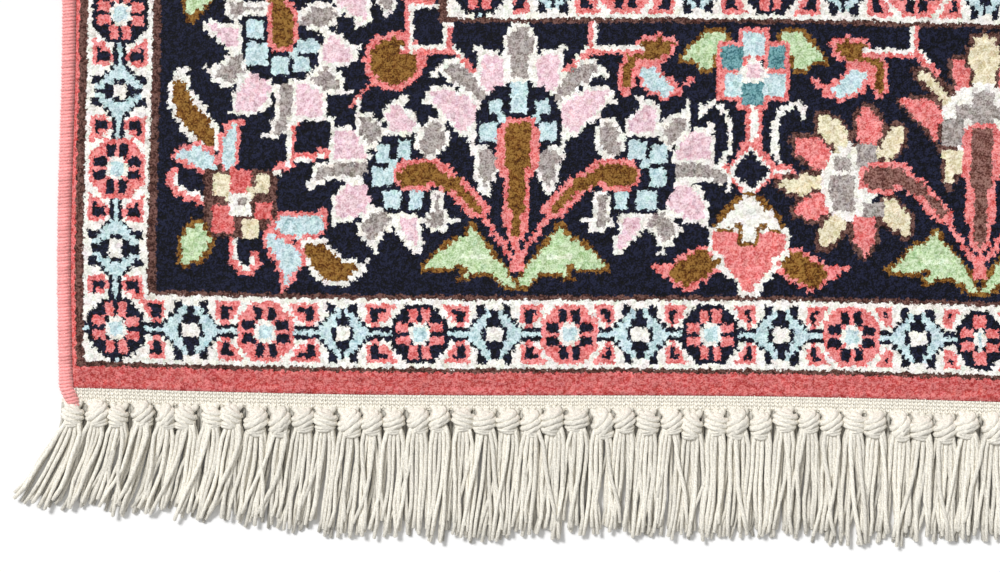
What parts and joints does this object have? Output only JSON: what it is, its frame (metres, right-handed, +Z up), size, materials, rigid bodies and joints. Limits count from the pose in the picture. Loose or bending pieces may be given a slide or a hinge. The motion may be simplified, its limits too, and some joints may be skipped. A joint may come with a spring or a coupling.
{
  "type": "kashmir silk rug",
  "caption": "Rectangular hand-knotted silk rug lying flat, with a floral border, coral end bands, overcast long edges and knotted cotton tassels at each end.",
  "frame": {"origin": "middle of the rug's back, on the surface that it lies on", "axes": "+X across the rug, +Y along it, +Z up through the pile"},
  "size_m": [0.6244, 1.0316, 0.0062],
  "materials": {
    "silk_pile": "dense cut silk pile, soft directional sheen",
    "silk_overcast": "silk yarn wrapped tightly round the edge",
    "cotton_yarn": "matt plied cotton"
  },
  "bodies": {
    "root": {"rug_pile": "silk_pile", "selvedge_left": "silk_overcast", "selvedge_right": "silk_overcast", "fringe_front": "cotton_yarn", "fringe_back": "cotton_yarn"}
  },
  "joints": []
}
